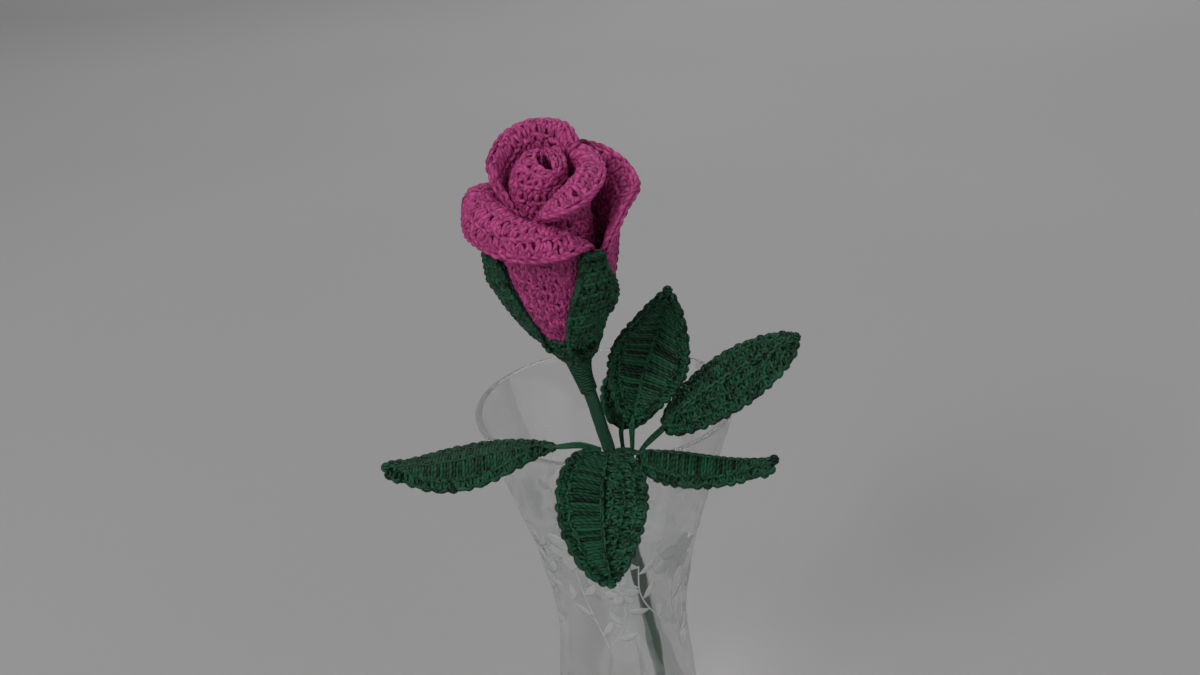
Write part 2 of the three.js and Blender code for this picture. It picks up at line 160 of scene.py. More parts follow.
def path_frames(path):
    """Two unit normals at each point, carried along without twist."""
    along = unit(np.gradient(path, axis=0))
    normal = unit(np.cross(along[0], [0.0, 1.0, 0.1]))
    normals = []
    for t in along:
        normal = unit(normal - t * np.dot(normal, t))
        normals.append(normal)
    normals = np.array(normals)
    return normals, np.cross(along, normals)


# ---- surfaces
class Surface:
    """A sheet's middle surface, sampled on an even grid of u and v, with normals along du x dv."""

    def __init__(self, points):
        self.points = points
        du = np.gradient(points, axis=0)
        dv = np.gradient(points, axis=1)
        self.normals = unit(np.cross(du, dv))
        self.data = np.concatenate([points, self.normals], axis=2)

    def look(self, u, v):
        """Points and normals at u, v."""
        nu, nv = self.data.shape[:2]
        x = np.clip(u, 0, 1) * (nu - 1)
        y = np.clip(v, 0, 1) * (nv - 1)
        i = np.minimum(x.astype(int), nu - 2)
        j = np.minimum(y.astype(int), nv - 2)
        fx = (x - i)[..., None]
        fy = (y - j)[..., None]
        d = self.data
        low = d[i, j] * (1 - fx) + d[i + 1, j] * fx
        high = d[i, j + 1] * (1 - fx) + d[i + 1, j + 1] * fx
        both = low * (1 - fy) + high * fy
        return both[..., :3], unit(both[..., 3:])

    def depth(self):
        """The sheet's length along v at each sampled u."""
        return np.linalg.norm(np.diff(self.points, axis=1), axis=2).sum(axis=1)

    def turned(self):
        """The same sheet with u and v exchanged; its normal changes side."""
        return Surface(self.points.transpose(1, 0, 2))


# ---- pieces
def add_object(name, data):
    obj = bpy.data.objects.new(name, data)
    bpy.context.scene.collection.objects.link(obj)
    return obj


class Piece:
    """A mesh of strands and sheets; strands have its first material, the sheets of painted shade
    under the stitches and the tape its second.
    """

    def __init__(self, seed, strand_points=FINE_POINTS):
        self.rng = np.random.default_rng(SEED * 1000 + seed)
        self.verts, self.quads, self.uvs, self.slots, self.tones = [], [], [], [], []
        self.count = 0
        self.strand_points = strand_points

    def add(self, verts, quads, uvs, slot, tones=0.0):
        self.tones.append(np.broadcast_to(tones, verts.shape[:-1]).reshape(-1))
        self.verts.append(verts.reshape(-1, 3))
        self.quads.append(quads.reshape(-1, 4) + self.count)
        self.uvs.append(uvs.reshape(-1, 2))
        self.slots.append(np.full(quads.size // 4, slot))
        self.count += self.verts[-1].shape[0]

    def tubes(self, verts, run, slot, tones=0.0):
        """Tubes of (tube, ring, side, 3) vertices; run is the length along each tube at its rings."""
        sides = verts.shape[2]
        index = np.arange(verts[..., 0].size).reshape(verts.shape[:3])
        nxt = np.roll(index, -1, axis=2)
        quads = np.stack([index[:, :-1], nxt[:, :-1], nxt[:, 1:], index[:, 1:]], axis=-1)
        low = np.broadcast_to(run[:, :-1, None], quads.shape[:3])
        high = np.broadcast_to(run[:, 1:, None], quads.shape[:3])
        left = np.broadcast_to(np.arange(sides) / sides, quads.shape[:3])
        right = left + 1 / sides
        uvs = np.stack([low, left, low, right, high, right, high, left], axis=-1)
        self.add(verts, quads, uvs, slot, tones)

    def strands(self, centres, normals, radius, sides=SIDES, plump=True):
        """Round strands; centres and normals are (strand, point, 3)."""
        m, k = centres.shape[:2]
        if m == 0:
            return
        along = unit(np.gradient(centres, axis=1))
        e1 = unit(np.cross(along, normals))
        e2 = np.cross(e1, along)
        radius = np.broadcast_to(radius, (m, k)).copy()
        if plump:
            radius *= STRAND_ENDS + STRAND_SWELL * np.sin(np.pi * np.linspace(0.06, 0.94, k))
        a = TURN * np.arange(sides) / sides
        ring = e1[:, :, None] * np.cos(a)[:, None] + e2[:, :, None] * np.sin(a)[:, None]
        verts = centres[:, :, None] + radius[:, :, None, None] * ring
        steps = np.linalg.norm(np.diff(centres, axis=1), axis=2)
        run = np.concatenate([np.zeros((m, 1)), np.cumsum(steps, axis=1)], axis=1)
        run = run + self.rng.uniform(0, YARN_START, (m, 1))
        tones = self.rng.normal(0, 1, (m, 1, 1))
        self.tubes(verts, run, 0, tones)

    def slab(self, surface, thickness, every=(1, 1), slot=1):
        """A closed sheet of even thickness about a surface's grid, or every few of its lines."""
        # on the yarn pieces the sheet takes slot 1, the dark material of painted shade between the
        # stitches
        points = surface.points[::every[0], ::every[1]]
        off = surface.normals[::every[0], ::every[1]] * thickness / 2
        verts = np.stack([points + off, points - off])
        up, low = np.arange(verts[..., 0].size).reshape(verts.shape[:3])
        faces = [
            np.stack([up[:-1, :-1], up[1:, :-1], up[1:, 1:], up[:-1, 1:]], -1).reshape(-1, 4),
            np.stack([low[:-1, :-1], low[:-1, 1:], low[1:, 1:], low[1:, :-1]], -1).reshape(-1, 4),
            np.stack([up[:-1, 0], low[:-1, 0], low[1:, 0], up[1:, 0]], -1),
            np.stack([up[:-1, -1], up[1:, -1], low[1:, -1], low[:-1, -1]], -1),
            np.stack([up[0, :-1], up[0, 1:], low[0, 1:], low[0, :-1]], -1),
            np.stack([up[-1, :-1], low[-1, :-1], low[-1, 1:], up[-1, 1:]], -1),
        ]
        quads = np.concatenate(faces)
        flat = verts.reshape(-1, 3)
        self.add(flat, quads, flat[quads][..., :2] * SHEET_UV, slot)

    def make(self, name, materials, replaced):
        verts = np.concatenate(self.verts) * MM
        quads = np.concatenate(self.quads)
        mesh = bpy.data.meshes.new(name)
        mesh.vertices.add(len(verts))
        mesh.vertices.foreach_set("co", verts.astype(np.float32).ravel())
        mesh.loops.add(quads.size)
        mesh.loops.foreach_set("vertex_index", quads.astype(np.int32).ravel())
        mesh.polygons.add(len(quads))
        mesh.polygons.foreach_set("loop_start", np.arange(0, quads.size, 4, dtype=np.int32))
        mesh.polygons.foreach_set("material_index", np.concatenate(self.slots).astype(np.int32))
        mesh.polygons.foreach_set("use_smooth", np.ones(len(quads), bool))
        uv = mesh.uv_layers.new(name="yarn")
        uv.data.foreach_set("uv", np.concatenate(self.uvs).astype(np.float32).ravel())
        tone = mesh.attributes.new("tone", "FLOAT", "POINT")
        tone.data.foreach_set("value", np.concatenate(self.tones).astype(np.float32))
        mesh.update(calc_edges=True)
        mesh.validate()
        for material in materials:
            mesh.materials.append(material)
        obj = add_object(name, mesh)
        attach(obj, "root")
        if replaced:
            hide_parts(*replaced)
        return obj


# ---- stitches: points across the stitch and up the row, as shares, and out of the cloth (mm)
LEG = np.array([
    [0.10, 1.20, -0.30], [0.14, 0.98, 0.08], [0.22, 0.68, 0.26], [0.31, 0.36, 0.26],
    [0.38, 0.04, 0.06], [0.42, -0.16, -0.34]])
CROSS = np.array([
    [-0.20, 0.98, -0.25], [-0.08, 0.88, 0.0], [0.0, 0.84, 0.10], [0.08, 0.88, 0.0],
    [0.20, 0.98, -0.25]])
BAR = np.array([
    [-0.12, 0.86, -0.30], [0.08, 0.70, 0.10], [0.32, 0.58, 0.36], [0.68, 0.58, 0.36],
    [0.92, 0.70, 0.10], [1.12, 0.86, -0.30]])
FOOT = np.array([
    [0.30, 0.62, -0.10], [0.24, 0.44, 0.10], [0.22, 0.22, 0.20], [0.28, 0.04, 0.08],
    [0.38, -0.14, -0.34]])
POST = np.array([
    [0.0, -0.04, -0.35], [0.04, 0.06, 0.02], [0.02, 0.3, 0.16], [-0.03, 0.55, 0.2],
    [0.0, 0.8, 0.14], [0.03, 0.96, 0.0], [0.0, 1.04, -0.35]])
# a chain's loop: along the link and across it, as shares, and out of the cloth (mm)
LOOP = np.array([
    [-0.12, 0.0, -0.45], [0.05, 0.30, -0.10], [0.30, 0.85, 0.14], [0.62, 1.0, 0.20],
    [0.92, 0.66, 0.10], [1.12, 0.25, -0.12], [1.25, 0.05, -0.45]])


def mirrored(template):
    flipped = template.copy()
    flipped[:, 0] = 1 - flipped[:, 0]
    return flipped


V_ROW = [LEG, mirrored(LEG), CROSS]
BUMP_ROW = [BAR, FOOT, mirrored(FOOT)]
POSTS = [POST + (0.18, 0, 0), POST + (0.5, 0, 0.1), POST * (-1, 1, 1) + (0.82, 0, 0)]


def smooth_curve(y, t):
    """Catmull-Rom through evenly spaced values."""
    n = len(y)
    i = np.clip(t.astype(int), 0, n - 2)
    f = t - i
    a, b, c, d = y[np.maximum(i - 1, 0)], y[i], y[i + 1], y[np.minimum(i + 2, n - 1)]
    square = (2 * a - 5 * b + 4 * c - d) * f * f
    return 0.5 * (2 * b + (c - a) * f + square + (3 * b - a - 3 * c + d) * f ** 3)


def resampled(template, count):
    t = np.linspace(0, len(template) - 1, count)
    return np.stack([smooth_curve(template[:, k], t) for k in range(3)], axis=1)


def row_of_stitches(piece, surface, line, templates, side, level, pitch=STITCH, span=(0, 1),
                    keep=None, yarn=YARN, uneven=UNEVEN):
    """One row of stitches; line(u, b) gives v, b being 0 at the row's foot and 1 at its head."""
    us = np.linspace(span[0], span[1], ROW_SAMPLES)
    middle, _ = surface.look(us, line(us, 0.5))
    run = lengths_along(middle)
    count = max(int(round(run[-1] / pitch)), 1)
    n = count + 1
    start = np.arange(n)[:, None] + piece.rng.uniform(-0.5, 0.5)
    for template in templates:
        shape = resampled(template, piece.strand_points)
        jitter = piece.rng.normal(0, 1, (4, n, 1))
        lean = 2 * uneven * jitter[3] * (shape[:, 1] - 0.5)
        a = start + shape[:, 0] + uneven * jitter[0] + lean
        b = shape[:, 1] + uneven * jitter[1]
        w = level + shape[:, 2] + uneven * jitter[2]
        x = a * run[-1] / count
        u = np.interp(x, run, us)
        v = line(u, b)
        inside = (x.min(axis=1) > -OVERHANG * pitch) & (x.max(axis=1) < run[-1] + OVERHANG * pitch)
        inside &= (v.min(axis=1) > V_RANGE[0]) & (v.max(axis=1) < V_RANGE[1])
        if keep is not None:
            inside &= keep(u.mean(axis=1), v.mean(axis=1))
        u, v, w = u[inside], np.clip(v[inside], 0, V_TOP), w[inside]
        points, normals = surface.look(u, v)
        points = points + normals * (side * w)[..., None]
        radius = yarn * (1 + YARN_VARIES * piece.rng.normal(0, 1, (len(points), 1)))
        piece.strands(points, normals * side, radius)


def chain(piece, line, lateral, outward, link=CHAIN_LINK, yarn=YARN, spread=CHAIN_SPREAD):
    """A chain of V loops along a line; lateral and outward are unit vectors at its points."""
    run = lengths_along(line)
    count = max(int(round(run[-1] / link)), 1)
    link = run[-1] / count
    shape = resampled(LOOP, LINK_POINTS)
    data = np.concatenate([line, lateral, outward], axis=1)
    start = np.arange(count)[:, None]
    along_by, off_by = LINK_UNEVEN
    for hand in (-1, 1):
        jitter = piece.rng.normal(0, 1, (3, count, 1))
        x = np.clip((start + shape[:, 0] + along_by * jitter[0]) * link, 0, run[-1])
        y = hand * spread * yarn * 2 * shape[:, 1] + off_by * jitter[1]
        z = shape[:, 2] + off_by * jitter[2]
        at = np.stack([np.interp(x, run, data[:, k]) for k in range(9)], axis=-1)
        out = unit(at[..., 6:])
        points = at[..., :3] + unit(at[..., 3:6]) * y[..., None] + out * z[..., None]
        piece.strands(points, out, yarn)


def edge_line(surface, us, vs, inset=0.25):
    """A line along the sheet's edge with the sheet's normal and the way out of the sheet."""
    points, normals = surface.look(us, vs)
    along = unit(np.gradient(points, axis=0))
    out = unit(np.cross(along, normals))
    inward = 0.02
    middle, _ = surface.look(us + (0.5 - us) * inward, vs + (0.5 - vs) * inward)
    away = np.sum((points - middle) * out, axis=1, keepdims=True)
    out = out * np.where(away < 0, -1, 1)
    return points - out * inset, normals, out


def outline(piece, surface, rim_only=False, link=CHAIN_LINK, yarn=YARN):
    """Chains round the sheet: the far rim, and the two side edges unless rim_only."""
    t = np.linspace(0, 1, EDGE_SAMPLES)
    edges = [(t, np.ones_like(t))]
    if not rim_only:
        edges += [(np.zeros_like(t), t), (np.ones_like(t), t)]
    for us, vs in edges:
        line, normals, out = edge_line(surface, us, vs)
        chain(piece, line, normals, out, link, yarn)


def rows_from_rim(surface, row):
    """Lines of rows that follow the rim, from the rim down."""
    depth = surface.depth()
    grid = np.linspace(0, 1, len(depth))
    count = int(round((depth.max() - RIM_GAP) / row))
    row = (depth.max() - RIM_GAP) / count

    def line_of(k):
        def line(u, b):
            return 1 - (RIM_GAP + row * (k + 1 - b)) / np.interp(u, grid, depth)
        return line

    return [line_of(k) for k in range(count)]


def knit_sheet(piece, surface, level, faces, row=ROW, pitch=STITCH):
    """Rows of stitches over the sheet; faces is a list of (side, lowest v)."""
    lines = rows_from_rim(surface, row)
    for side, lowest in faces:
        for k, line in enumerate(lines):
            kind = V_ROW if (k + (side > 0)) % 2 == 1 else BUMP_ROW
            row_of_stitches(piece, surface, line, kind, side, level, pitch,
                            keep=lambda u, v: v > lowest)


def coil(piece, path, radius_at, pitch, yarn, phase=0.0):
    """Yarn wound round a path; radius_at gives the winding's middle radius over the path."""
    run = lengths_along(path)[-1]
    turns = run / pitch
    steps = max(int(turns * 14), int(run / 0.8), 8)
    t = np.linspace(0, 1, steps)
    fine = share_of(path, 0, 1, steps)
    first, second = path_frames(fine)
    a = (TURN * turns * t + phase)[:, None]
    out = first * np.cos(a) + second * np.sin(a)
    line = fine + out * radius_at(t)[:, None]
    piece.strands(line[None], out[None], yarn, WOUND_SIDES, plump=False)


# ---- materials
def connect(tree, node, inputs):
    """Sets each input to a value, or links it to another node's output."""
    for key, value in inputs.items():
        if isinstance(value, bpy.types.NodeSocket):
            tree.links.new(value, node.inputs[key])
        else:
            node.inputs[key].default_value = value


def node_material(name):
    material = bpy.data.materials.new(name)
    material.use_nodes = True
    tree = material.node_tree
    tree.nodes.clear()
    out = tree.nodes.new("ShaderNodeOutputMaterial")
    shader = tree.nodes.new("ShaderNodeBsdfPrincipled")
    tree.links.new(shader.outputs[0], out.inputs["Surface"])
    return material, tree, shader


def add_node(tree, kind, inputs, **settings):
    """A new node's outputs."""
    node = tree.nodes.new(kind)
    for key, value in settings.items():
        setattr(node, key, value)
    connect(tree, node, inputs)
    return node.outputs


def math_node(tree, operation, a, b=0.0, c=0.0):
    return add_node(tree, "ShaderNodeMath", {0: a, 1: b, 2: c}, operation=operation)[0]


def yarn_uv(tree):
    return add_node(tree, "ShaderNodeUVMap", {}, uv_map="yarn")[0]


def noise_at(tree, vector, scale, detail=2.0):
    inputs = {"Vector": vector, "Scale": scale, "Detail": detail}
    return add_node(tree, "ShaderNodeTexNoise", inputs)["Fac"]


def noise_in_place(tree, scale, detail=2.0):
    """Noise over the piece's own place in space."""
    where = add_node(tree, "ShaderNodeNewGeometry", {})["Position"]
    return noise_at(tree, where, scale, detail)


def ramp_of(tree, amount, low, dark, high, light):
    """A colour that runs from dark where the amount is low to light where it is high."""
    node = tree.nodes.new("ShaderNodeValToRGB")
    for element, place, colour in zip(node.color_ramp.elements, (low, high), (dark, light)):
        element.position = place
        element.color = (*colour, 1)
    connect(tree, node, {0: amount})
    return node.outputs[0]


def bump_of(tree, height, strength, distance):
    inputs = {"Height": height, "Strength": strength, "Distance": distance}
    return add_node(tree, "ShaderNodeBump", inputs)[0]


PLIES = 3.0
LAY = 2.6


def yarn_material(name, dark, light, roughness, sheen, gloss, patchy):
    """Plied yarn: the plies wind round the strand, with fine fibres along them, and painted shade in
    the grooves between the plies.
    """
    material, tree, shader = node_material(name)
    split = add_node(tree, "ShaderNodeSeparateXYZ", {0: yarn_uv(tree)})
    length, turn = split[0], split[1]
    phase = math_node(tree, "ADD", math_node(tree, "MULTIPLY", turn, PLIES),
                      math_node(tree, "DIVIDE", length, LAY))
    wave = math_node(tree, "SINE", math_node(tree, "MULTIPLY", phase, TURN))
    ply_and_groove_shade = math_node(tree, "MULTIPLY_ADD", wave, 0.5, 0.5)
    across = math_node(tree, "MULTIPLY", phase, 3.2)
    along = math_node(tree, "MULTIPLY", length, 0.8)
    fibre_at = add_node(tree, "ShaderNodeCombineXYZ", {0: across, 1: along})[0]
    fibre = noise_at(tree, fibre_at, 3.0, 3.0)
    patch = noise_in_place(tree, 160.0)
    tone = add_node(tree, "ShaderNodeAttribute", {}, attribute_name="tone")["Fac"]
    # the ply wave also darkens the colour between the plies: painted shade in the ply grooves
    mix = math_node(tree, "MULTIPLY_ADD", ply_and_groove_shade, 0.35, 0.10)
    mix = math_node(tree, "MULTIPLY_ADD", fibre, 0.45, mix)
    mix = math_node(tree, "MULTIPLY_ADD", patch, 0.30, mix)
    mix = math_node(tree, "MULTIPLY_ADD", tone, patchy, mix)
    height = math_node(tree, "MULTIPLY_ADD", fibre, 0.5, ply_and_groove_shade)
    connect(tree, shader, {
        "Base Color": ramp_of(tree, mix, 0.25, dark, 0.95, light),
        "Normal": bump_of(tree, height, strength=0.40, distance=0.00015),
        "Roughness": roughness,
        "Sheen Weight": sheen,
        "Sheen Roughness": 0.45,
        "Sheen Tint": (*light, 1),
        "Specular IOR Level": gloss,
    })
    return material


def shade_sheet_material(name, dark, light):
    """A dark sheet under the stitches that stands for the shade in the depth between them: painted
    shade.
    """
    material, tree, shader = node_material(name)
    noise = noise_in_place(tree, 900.0, 3.0)
    connect(tree, shader, {
        "Base Color": ramp_of(tree, noise, 0.35, dark, 0.7, light),
        "Normal": bump_of(tree, noise, strength=0.5, distance=0.0002),
        "Roughness": 0.95,
        "Specular IOR Level": 0.1,
    })
    return material


def tape_material():
    """Smooth green stem tape with faint creases along it."""
    material, tree, shader = node_material("stem_tape")
    inputs = {"Vector": yarn_uv(tree), "Scale": (0.25, 9.0, 1.0)}
    noise = noise_at(tree, add_node(tree, "ShaderNodeMapping", inputs)[0], 2.0, 4.0)
    dark, light = (0.003, 0.036, 0.018), (0.009, 0.073, 0.037)
    connect(tree, shader, {
        "Base Color": ramp_of(tree, noise, 0.3, dark, 0.75, light),
        "Normal": bump_of(tree, noise, strength=0.3, distance=0.0002),
        "Roughness": 0.5,
    })
    return material


def glass_material():
    """Clear glass with a slightly wavy surface."""
    material, tree, shader = node_material("clear_glass")
    connect(tree, shader, {
        "Base Color": (0.97, 0.98, 0.975, 1),
        "Normal": bump_of(tree, noise_in_place(tree, 22.0), strength=0.07, distance=0.002),
        "Roughness": 0.02,
        "IOR": 1.45,
        "Transmission Weight": 1.0,
        "Alpha": 0.72,
    })
    return material


def frosted_material():
    """Ground glass: pale, matt and a little see-through."""
    material, tree, shader = node_material("frosted_glass")
    dark, light = (0.50, 0.51, 0.50), (0.58, 0.59, 0.575)
    connect(tree, shader, {
        "Base Color": ramp_of(tree, noise_in_place(tree, 500.0), 0.3, dark, 0.7, light),
        "Roughness": 0.8,
        "Specular IOR Level": 0.2,
        "Alpha": 0.75,
    })
    return material


def wire_material():
    material, tree, shader = node_material("steel_wire")
    dark, light = (0.32, 0.33, 0.34), (0.52, 0.53, 0.54)
    connect(tree, shader, {
        "Base Color": ramp_of(tree, noise_in_place(tree, 700.0), 0.0, dark, 1.0, light),
        "Metallic": 1.0,
        "Roughness": 0.35,
    })
    return material


def stage_material():
    material, tree, shader = node_material("pale_backdrop")
    dark, light = (0.370, 0.360, 0.358), (0.410, 0.404, 0.400)
    connect(tree, shader, {
        "Base Color": ramp_of(tree, noise_in_place(tree, 1.2, 1.0), 0.0, dark, 1.0, light),
        "Roughness": 0.9,
        "Specular IOR Level": 0.1,
    })
    return material


# each yarn: its yarn material, then the dark sheet material of painted shade that fills the depth
# between the stitches
PINK = [
    yarn_material("pink_yarn", dark=(0.15, 0.005, 0.055), light=(0.60, 0.075, 0.28),
                  roughness=0.6, sheen=0.12, gloss=0.35, patchy=0.09),
    shade_sheet_material("pink_painted_shade", dark=(0.045, 0.003, 0.018), light=(0.10, 0.008, 0.040)),
]
GREEN = [
    yarn_material("green_yarn", dark=(0.0003, 0.005, 0.0022), light=(0.010, 0.096, 0.042),
                  roughness=0.55, sheen=0.0, gloss=0.34, patchy=0.16),
    shade_sheet_material("green_painted_shade", dark=(0.002, 0.008, 0.005), light=(0.004, 0.016, 0.010)),
]

# ---- head frame: the bud leans towards the viewer and a little to the left
HEAD_BASE = np.array([-8.4, -50.0, 244.1])
HEAD_AXIS = unit(np.array([-0.07, -0.21, 0.973]))
HEAD_SIDE = unit(-np.cross([0, -1, 0], HEAD_AXIS))
HEAD_FRONT = unit(np.cross(HEAD_SIDE, HEAD_AXIS))


def in_head(front, side, height):
    f, s, z = (x[..., None] for x in np.broadcast_arrays(front, side, height))
    return HEAD_BASE + HEAD_FRONT * f + HEAD_SIDE * s + HEAD_AXIS * z


def on_head(radius, angle, height):
    """Points round the head's axis; the angle is 0 in front and grows to the right."""
    return in_head(radius * np.cos(angle), radius * np.sin(angle), height)


# ---- rolled bud: the inner turn stands round the slit, the outer turn domes over it
SLIT_ANGLE = math.radians(27)
SLIT_CENTRE = (1.5, 0.6)
SLIT_LONG = 5.8
BUD_TURNS = 1.95
BUD_END = math.radians(150)
BUD_FOOT = 42
SHOULDER_V = 0.55
DOME_V = 0.45


def bud_surface():
    """The strip's u runs along the roll, from its inner end, and its v up to its upper edge."""
    u = np.linspace(0, 1, 420)[:, None]
    v = np.linspace(0, 1, 120)[None, :]
    angle = BUD_END - TURN * BUD_TURNS * (1 - u)
    outer = smoothstep(u, 0.42, 0.60)
    past = angle - SLIT_ANGLE
    along = SLIT_LONG * np.cos(past)
    off = (1.65 * outer + 0.9 * smoothstep(u, 0.88, 1.0)) + (2.75 + 0.85 * outer) * np.sin(past)
    top_front = SLIT_CENTRE[0] + along * math.cos(SLIT_ANGLE) - off * math.sin(SLIT_ANGLE)
    top_side = SLIT_CENTRE[1] + along * math.sin(SLIT_ANGLE) + off * math.cos(SLIT_ANGLE)
    collar = smoothstep(np.sin(past), 0.3, 0.8)
    top_z = (1 - outer) * (66 + 9.8 * collar) + outer * 75 - 0.3 * top_front
    body = 3.0 + 5.5 * outer
    body_front = 0.3 * (1 - outer) + body * np.cos(angle)
    body_side = -0.3 - 2.2 * outer + body * np.sin(angle)
    shoulder = 64.5 - 4 * (1 - outer)
    low = np.minimum(v / SHOULDER_V, 1)
    high = np.maximum((v - SHOULDER_V) / DOME_V, 0) * math.pi / 2
    taper = 0.86 + 0.14 * np.sin(low * math.pi / 2)
    below = v < SHOULDER_V
    front = np.where(below, taper * body_front,
                     top_front + (body_front - top_front) * np.cos(high))
    side = np.where(below, taper * body_side,
                    top_side + (body_side - top_side) * np.cos(high))
    height = np.where(below, BUD_FOOT + (shoulder - BUD_FOOT) * low,
                      shoulder + (top_z - shoulder) * np.sin(high))
    return Surface(in_head(front, side, height))


def bud_piece():
    surface = bud_surface()
    piece = Piece(1)
    piece.slab(surface, thickness=0.8, every=(3, 4))
    knit_sheet(piece, surface, level=0.42, faces=[(1, 0.2)])
    outline(piece, surface, link=3.3, yarn=0.62)
    piece.make("bud_core", PINK, ["bud_core"])


# ---- petals: the foot's radius and height and the body's swell, then rows of angle (degrees,
# 0 = front, + = right), fold radius, fold height, roll (degrees), roll radius and lip length
PETALS = {
    "petal_a": ((10.1, 27, 0.09), [
        (-238, 12.0, 72.0, 90, 3.0, 4), (-200, 11.8, 75.6, 120, 3.6, 8),
        (-170, 11.8, 76.4, 125, 3.6, 8.5), (-145, 12.4, 75.6, 110, 3.4, 7),
        (-120, 13.8, 74.2, 75, 3.2, 5), (-98, 15.0, 72.0, 45, 4, 4), (-84, 15.0, 69.0, 35, 4, 3),
        (-70, 13.5, 64.0, 25, 4, 2), (-52, 12.9, 59, 25, 4, 1.5)]),
    "petal_b": ((9.0, 22, 0.065), [
        (-24, 13.0, 53, 50, 5.0, 3), (-10, 13.0, 59, 95, 5.4, 8), (5, 13.2, 63.5, 115, 5.6, 13),
        (24, 12.6, 66.5, 125, 5.4, 15), (50, 11.8, 68.5, 130, 4.3, 13),
        (90, 11.3, 69.5, 130, 3.5, 9), (118, 10.8, 70.5, 120, 2.9, 7)]),
    "petal_c": ((6.8, 6.7, 0.25), [
        (-132, 18.0, 55.5, 120, 4.4, 8), (-112, 17.5, 59.2, 168, 4.6, 16),
        (-90, 17.0, 61.3, 176, 4.8, 19.2), (-60, 16.7, 61.8, 174, 5.1, 21.5),
        (-30, 17.2, 59.4, 168, 5.2, 20.5), (0, 17.8, 56.8, 160, 5.0, 17.5),
        (24, 18.0, 51.0, 130, 4.0, 8.5), (34, 18.2, 47.2, 95, 3.2, 3.5),
        (40, 18.2, 44.8, 60, 3.2, 2)]),
    "petal_d": ((6.8, 6.7, 0.225), [
        (45, 20.6, 45, 30, 8, 2), (54, 20.8, 49.5, 45, 8, 6), (68, 20.8, 53.0, 60, 9, 9),
        (88, 20.8, 55, 65, 9, 12), (105, 20.8, 57.5, 60, 9, 11), (125, 20.2, 62, 60, 8, 8.5),
        (165, 19.2, 64, 60, 8, 7), (222, 19.0, 60, 60, 8, 4)]),
}
# the largest petal has fewer points on each strand
STRAND_POINTS = {"petal_c": FEWER_POINTS}


def petal_surface(base, rows):
    degrees = np.linspace(rows[0][0], rows[-1][0], 320)
    fold_r, fold_z, roll, roll_r, lip = (from_table(rows, k, degrees)[:, None] for k in range(1, 6))
    base_r, base_z, swell = base
    body = np.hypot(fold_r - base_r, fold_z - base_z)
    s = np.linspace(0, 1, 200)[None, :] * (body + lip)
    mid_r = base_r + (fold_z - base_z) * swell
    mid_z = base_z + (fold_z - base_z) * 0.5
    b = np.minimum(s / body, 1)
    r = (1 - b) ** 2 * base_r + 2 * b * (1 - b) * mid_r + b * b * fold_r
    z = (1 - b) ** 2 * base_z + 2 * b * (1 - b) * mid_z + b * b * fold_z
    past = np.maximum(s - body, 0)
    start = np.arctan2(fold_r - mid_r, fold_z - mid_z)
    arc = np.minimum(past, np.radians(roll) * roll_r)
    turned = start + arc / roll_r
    r = r + roll_r * (np.cos(start) - np.cos(turned)) + (past - arc) * np.sin(turned)
    z = z + roll_r * (np.sin(turned) - np.sin(start)) + (past - arc) * np.cos(turned)
    return Surface(on_head(r, np.radians(degrees)[:, None], z))


def petal_piece(name, seed, base, rows):
    surface = petal_surface(base, rows)
    piece = Piece(seed, STRAND_POINTS.get(name, FINE_POINTS))
    piece.slab(surface, thickness=0.7, every=(4, 4))
    knit_sheet(piece, surface, level=0.45, faces=[(1, 0.0), (-1, 0.42)])
    outline(piece, surface)
    piece.make(name, PINK, [name])


bud_piece()
for number, (petal_name, (petal_base, petal_rows)) in enumerate(PETALS.items()):
    petal_piece(petal_name, 10 + number, petal_base, petal_rows)

# ---- stem: smooth tape in laps, with three short bindings of yarn at shares of its length
STEM_PATH = curve_through([
    (19.6, 15.0, 15.2), (14.6, 0.0, 63.7), (7.6, -22.0, 132.0), (0.5, -46.4, 200.5),
    (-2.0, -48.2, 213.0), (-4.9, -49.4, 227.0), (-7.3, -50.0, 236.5),
    *(on_head(0, 0, z) for z in (2, 12, 32, 58))], 1200)
WRAP_SHARE = 0.81
NECK_FROM = 0.755
TAPE_RADIUS = 2.26
TAPE_LAP = 7.5
TAPE_THICK = 0.10
TAPE_RISE = 0.9
TAPE_FALL = 0.1
TAPE_RINGS = 700
TAPE_SIDES = 24
BINDINGS = (0.315, 0.52, 0.70)
BINDING_HALF = 0.034
WOUND_PITCH = 1.05


def stem_piece():
    piece = Piece(20)
    path = share_of(STEM_PATH, 0, WRAP_SHARE, TAPE_RINGS)
    run = lengths_along(path)
    first, second = path_frames(path)
    a = TURN * np.arange(TAPE_SIDES) / TAPE_SIDES
    out = first[:, None] * np.cos(a)[:, None] + second[:, None] * np.sin(a)[:, None]
    lap = (run[:, None] / TAPE_LAP + a / TURN) % 1.0
    rise = np.where(lap < TAPE_RISE, lap / TAPE_RISE, (1 - lap) / TAPE_FALL)
    radius = TAPE_RADIUS + TAPE_THICK * rise
    verts = path[:, None] + out * radius[..., None]
    piece.tubes(verts[None], run[None], 1)
    for share in BINDINGS:
        part = share_of(path, share - BINDING_HALF, share + BINDING_HALF, 60)
        coil(piece, part, lambda t: 2.35 + 0.15 * np.sin(np.pi * t), WOUND_PITCH, yarn=0.5)
    piece.make("stem_wrap", [GREEN[0], tape_material()], ["stem_wrap"])


stem_piece()

